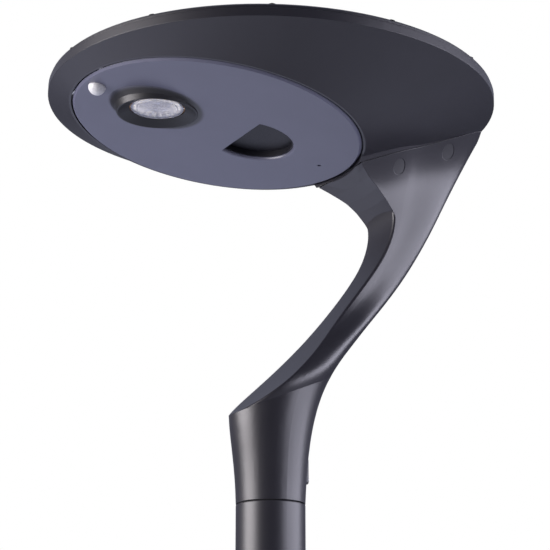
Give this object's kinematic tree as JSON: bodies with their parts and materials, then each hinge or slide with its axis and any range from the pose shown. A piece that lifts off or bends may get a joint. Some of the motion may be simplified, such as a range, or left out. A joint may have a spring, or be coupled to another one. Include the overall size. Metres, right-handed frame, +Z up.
{
  "type": "solar street lamp",
  "caption": "Round solar street lamp head on a swept arm: photovoltaic top, lensed lamp, motion sensor and hinged service door underneath, turning on a pole-top sleeve.",
  "frame": {"origin": "centre of the pole socket's mouth, at the open bottom end of the sleeve", "axes": "+Z up along the pole, the lamp looks towards -Y, +X to the lamp's left as seen from behind it"},
  "size_m": [0.6, 0.6001, 0.7157],
  "materials": {
    "powder_coat": "satin",
    "plate_coat": "satin",
    "funnel_black": "satin",
    "cup_black": "matte",
    "bare_cast": "matte",
    "tray_aluminium": "satin",
    "stainless": "satin",
    "black_screws": "satin",
    "spring_steel": "satin",
    "sensor_steel": "satin",
    "seal_rubber": "matte",
    "seal_amber": "matte",
    "nylon": "matte",
    "plug_plastic": "matte",
    "black_plastic": "matte",
    "grey_plastic": "matte",
    "dome_white": "satin",
    "rocker_red": "gloss",
    "cell_wrap": "gloss",
    "circuit_board": "satin",
    "chip_black": "matte",
    "led_board": "satin",
    "led_phosphor": "satin",
    "silicon": "gloss",
    "backsheet": "matte",
    "panel_glass": "gloss",
    "lens_clear": "gloss"
  },
  "bodies": {
    "pole_body": {"pole_sleeve": "powder_coat", "sleeve_set_screws": "stainless", "swivel_spigot": "bare_cast", "stop_pin": "stainless", "seam_ring": "seal_rubber", "thrust_washer": "nylon"},
    "lamp_body": {"arm_casting": "powder_coat", "access_cover": "powder_coat", "access_cover_screws": "stainless", "azimuth_clamp_screws": "stainless", "arm_bolts": "stainless", "arm_bolt_plugs": "plug_plastic", "joint_gasket": "seal_rubber", "head_shell": "powder_coat", "head_tongue": "bare_cast", "head_bolts": "stainless", "cable_gland": "black_plastic", "bezel_ring": "powder_coat", "bezel_screws": "black_screws", "glass_gasket": "seal_rubber", "panel_glass": "panel_glass", "panel_cells": "silicon", "panel_backsheet": "backsheet", "panel_tray": "tray_aluminium", "panel_junction_box": "black_plastic", "battery_box": "grey_plastic", "battery_cells": "cell_wrap", "battery_lid": "grey_plastic", "lid_screws": "stainless", "controller_case": "grey_plastic", "controller_board": "circuit_board", "controller_parts": "chip_black", "switch_frame": "black_plastic"},
    "plate_body": {"service_plate": "plate_coat", "hinge_pins": "stainless", "plate_seal": "seal_rubber", "glare_ring": "funnel_black", "lamp_lens": "lens_clear", "lens_seal": "seal_amber", "lens_spacer": "black_plastic", "led_board": "led_board", "led_emitters": "led_phosphor", "heat_sink": "bare_cast", "sink_screws": "stainless", "sensor_dome": "dome_white", "sensor_board": "circuit_board", "sensor_can": "sensor_steel", "grip_cup": "cup_black", "latch_housing": "bare_cast", "latch_spring": "spring_steel"},
    "bolt_body": {"latch_bolt": "stainless"},
    "rocker_body": {"switch_rocker": "rocker_red"}
  },
  "joints": [
    {"name": "azimuth_swivel", "type": "hinge", "parent": "pole_body", "child": "lamp_body", "pos_m": [0, 0, 0.15], "axis": [0, 0, 1], "range_deg": [-170, 170]},
    {"name": "service_door", "type": "hinge", "parent": "lamp_body", "child": "plate_body", "pos_m": [0, -0.26581, 0.68216], "axis": [-1, 0, 0], "range_deg": [0, 42]},
    {"name": "latch_slide", "type": "slide", "parent": "plate_body", "child": "bolt_body", "axis": [0, -0.986, 0.1668], "range_m": [0, 0.007], "stiffness_N_per_m": 300, "springref_m": -0.004, "deforming": ["latch_spring"]},
    {"name": "switch_rock", "type": "hinge", "parent": "lamp_body", "child": "rocker_body", "pos_m": [0.102, -0.04039, 0.67455], "axis": [1, 0, 0], "range_deg": [0, 11]}
  ]
}
